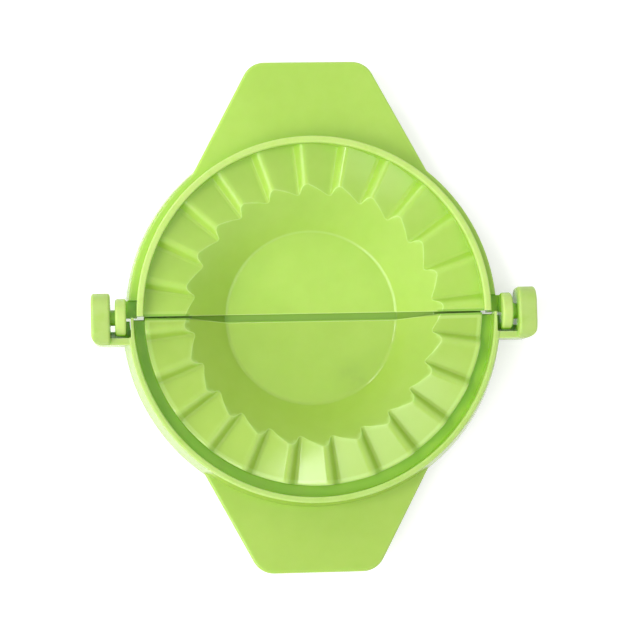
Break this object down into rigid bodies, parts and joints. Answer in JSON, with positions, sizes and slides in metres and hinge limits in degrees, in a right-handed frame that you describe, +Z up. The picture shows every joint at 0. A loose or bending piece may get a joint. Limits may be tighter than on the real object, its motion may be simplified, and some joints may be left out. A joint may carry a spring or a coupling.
{
  "type": "empanada press",
  "caption": "Hinged plastic dough press, lying open: pleated half-bowls with a mating rim and groove, a flat handle on each side and pins that snap into brackets.",
  "frame": {"origin": "on the resting plane, under the middle of the hinge", "axes": "+X along the hinge, +Y towards the ridge half's handle when the press lies open, +Z up out of the bowls"},
  "size_m": [0.0956, 0.111, 0.0154],
  "materials": {
    "groove_half_plastic": "satin gloss moulded polypropylene, light green",
    "ridge_half_plastic": "satin gloss moulded polypropylene, light green"
  },
  "bodies": {
    "groove_side": {"groove_half": "groove_half_plastic"},
    "ridge_side": {"ridge_half": "ridge_half_plastic"}
  },
  "joints": [
    {"name": "press_hinge", "type": "hinge", "parent": "groove_side", "child": "ridge_side", "pos_m": [0, 0, 0.011], "axis": [1, 0, 0], "range_deg": [0, 180]}
  ]
}
